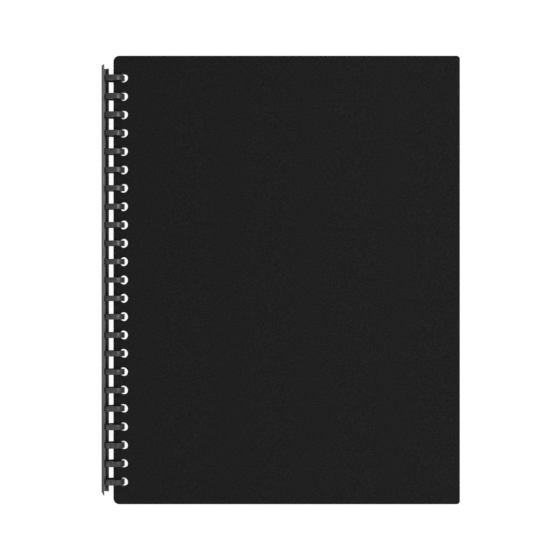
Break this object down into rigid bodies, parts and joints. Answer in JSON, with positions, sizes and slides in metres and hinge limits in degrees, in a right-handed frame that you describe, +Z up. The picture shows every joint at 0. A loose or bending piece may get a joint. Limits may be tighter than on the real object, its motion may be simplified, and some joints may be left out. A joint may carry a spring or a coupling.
{
  "type": "clear pocket display book",
  "caption": "Ring-bound display book with stiff black covers, clear top-loading pockets on plastic rings and a spine bar that swings out to free the ring tips.",
  "frame": {"origin": "middle of the underside of the closed book's box, on the surface that it lies on", "axes": "+X from the spine to the fore edge, +Y from the foot to the head, +Z up out of the front cover"},
  "size_m": [0.2474, 0.31, 0.0161],
  "materials": {
    "cover_sheet": "matt black polypropylene with a very fine grain",
    "spine_plastic": "satin black moulded plastic",
    "ring_plastic": "satin charcoal moulded plastic",
    "clear_film": "clear polypropylene film"
  },
  "bodies": {
    "back_cover": {"back_cover": "cover_sheet"},
    "comb": {"comb_strip": "spine_plastic", "binding_rings": "ring_plastic"},
    "pocket_01": {"pocket_01_back_film": "clear_film", "pocket_01_front_film": "clear_film", "pocket_01_weld_seams": "clear_film"},
    "pocket_02": {"pocket_02_back_film": "clear_film", "pocket_02_front_film": "clear_film", "pocket_02_weld_seams": "clear_film"},
    "pocket_03": {"pocket_03_back_film": "clear_film", "pocket_03_front_film": "clear_film", "pocket_03_weld_seams": "clear_film"},
    "pocket_04": {"pocket_04_back_film": "clear_film", "pocket_04_front_film": "clear_film", "pocket_04_weld_seams": "clear_film"},
    "pocket_05": {"pocket_05_back_film": "clear_film", "pocket_05_front_film": "clear_film", "pocket_05_weld_seams": "clear_film"},
    "pocket_06": {"pocket_06_back_film": "clear_film", "pocket_06_front_film": "clear_film", "pocket_06_weld_seams": "clear_film"},
    "pocket_07": {"pocket_07_back_film": "clear_film", "pocket_07_front_film": "clear_film", "pocket_07_weld_seams": "clear_film"},
    "pocket_08": {"pocket_08_back_film": "clear_film", "pocket_08_front_film": "clear_film", "pocket_08_weld_seams": "clear_film"},
    "pocket_09": {"pocket_09_back_film": "clear_film", "pocket_09_front_film": "clear_film", "pocket_09_weld_seams": "clear_film"},
    "pocket_10": {"pocket_10_back_film": "clear_film", "pocket_10_front_film": "clear_film", "pocket_10_weld_seams": "clear_film"},
    "front_cover": {"front_cover": "cover_sheet"},
    "spine_bar": {"spine_bar": "spine_plastic"}
  },
  "joints": [
    {"name": "comb_turn", "type": "hinge", "parent": "back_cover", "child": "comb", "pos_m": [-0.1163, 0, 0.00805], "axis": [0, -1, 0], "range_deg": [0, 90]},
    {"name": "pocket_01_turn", "type": "hinge", "parent": "back_cover", "child": "pocket_01", "pos_m": [-0.1163, 0, 0.00805], "axis": [0, -1, 0], "range_deg": [0, 9]},
    {"name": "pocket_02_turn", "type": "hinge", "parent": "back_cover", "child": "pocket_02", "pos_m": [-0.1163, 0, 0.00805], "axis": [0, -1, 0], "range_deg": [0, 18]},
    {"name": "pocket_03_turn", "type": "hinge", "parent": "back_cover", "child": "pocket_03", "pos_m": [-0.1163, 0, 0.00805], "axis": [0, -1, 0], "range_deg": [0, 27]},
    {"name": "pocket_04_turn", "type": "hinge", "parent": "back_cover", "child": "pocket_04", "pos_m": [-0.1163, 0, 0.00805], "axis": [0, -1, 0], "range_deg": [0, 36]},
    {"name": "pocket_05_turn", "type": "hinge", "parent": "back_cover", "child": "pocket_05", "pos_m": [-0.1163, 0, 0.00805], "axis": [0, -1, 0], "range_deg": [0, 45]},
    {"name": "pocket_06_turn", "type": "hinge", "parent": "back_cover", "child": "pocket_06", "pos_m": [-0.1163, 0, 0.00805], "axis": [0, -1, 0], "range_deg": [0, 54]},
    {"name": "pocket_07_turn", "type": "hinge", "parent": "back_cover", "child": "pocket_07", "pos_m": [-0.1163, 0, 0.00805], "axis": [0, -1, 0], "range_deg": [0, 63]},
    {"name": "pocket_08_turn", "type": "hinge", "parent": "back_cover", "child": "pocket_08", "pos_m": [-0.1163, 0, 0.00805], "axis": [0, -1, 0], "range_deg": [0, 72]},
    {"name": "pocket_09_turn", "type": "hinge", "parent": "back_cover", "child": "pocket_09", "pos_m": [-0.1163, 0, 0.00805], "axis": [0, -1, 0], "range_deg": [0, 81]},
    {"name": "pocket_10_turn", "type": "hinge", "parent": "back_cover", "child": "pocket_10", "pos_m": [-0.1163, 0, 0.00805], "axis": [0, -1, 0], "range_deg": [0, 90]},
    {"name": "front_cover_turn", "type": "hinge", "parent": "comb", "child": "front_cover", "pos_m": [-0.1163, 0, 0.00805], "axis": [0, -1, 0], "range_deg": [0, 92]},
    {"name": "spine_bar_swing", "type": "hinge", "parent": "comb", "child": "spine_bar", "pos_m": [-0.12279, 0, 0.00132], "axis": [0, -1, 0], "range_deg": [0, 60]}
  ],
  "couplings": [
    {"joint": "pocket_01_turn", "follows": "comb_turn", "ratio": 0.1},
    {"joint": "pocket_02_turn", "follows": "comb_turn", "ratio": 0.2},
    {"joint": "pocket_03_turn", "follows": "comb_turn", "ratio": 0.3},
    {"joint": "pocket_04_turn", "follows": "comb_turn", "ratio": 0.4},
    {"joint": "pocket_05_turn", "follows": "comb_turn", "ratio": 0.5},
    {"joint": "pocket_06_turn", "follows": "comb_turn", "ratio": 0.6},
    {"joint": "pocket_07_turn", "follows": "comb_turn", "ratio": 0.7},
    {"joint": "pocket_08_turn", "follows": "comb_turn", "ratio": 0.8},
    {"joint": "pocket_09_turn", "follows": "comb_turn", "ratio": 0.9},
    {"joint": "pocket_10_turn", "follows": "comb_turn", "ratio": 1}
  ]
}
